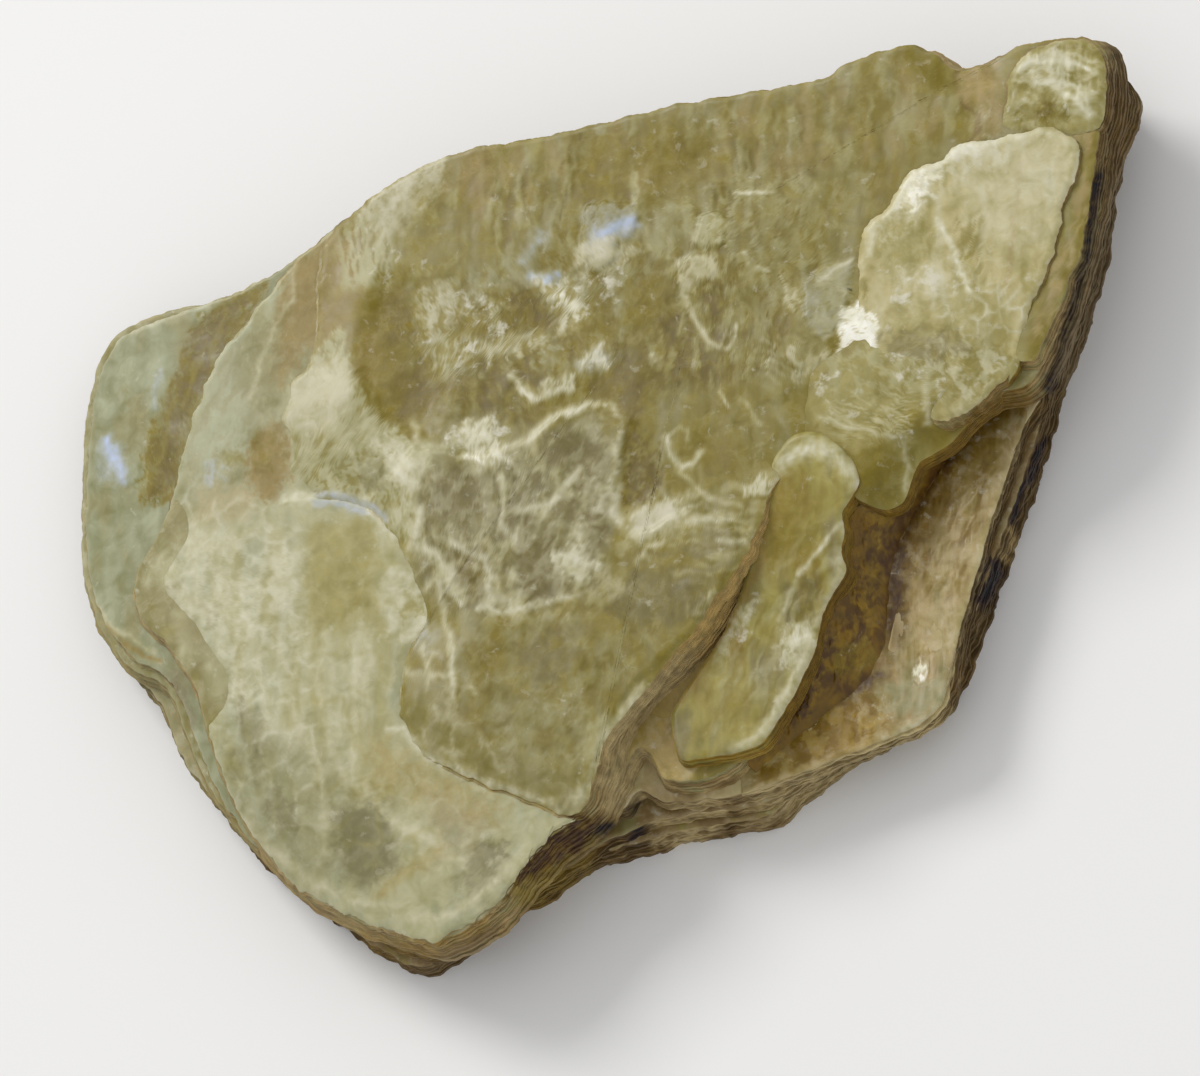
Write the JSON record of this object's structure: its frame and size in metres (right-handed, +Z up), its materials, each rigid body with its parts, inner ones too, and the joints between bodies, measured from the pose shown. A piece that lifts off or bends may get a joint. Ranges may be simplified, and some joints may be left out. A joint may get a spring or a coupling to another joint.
{
  "type": "mica crystal",
  "caption": "Flat, stepped block of olive mica leaves, thin and rounded at one side, with a layered wall at the other.",
  "frame": {"origin": "centre of the bounding box, on the plane of the flat base", "axes": "+Z up, across the cleavage leaves and along the shortest side of the box; +X along the longest side, from the thin rounded end to the thick end"},
  "size_m": [0.0974, 0.0766, 0.0134],
  "materials": {
    "mica": "glassy to pearly on the cleavage faces, rough and layered on the walls"
  },
  "bodies": {
    "root": {"mica_crystal": "mica"}
  },
  "joints": []
}
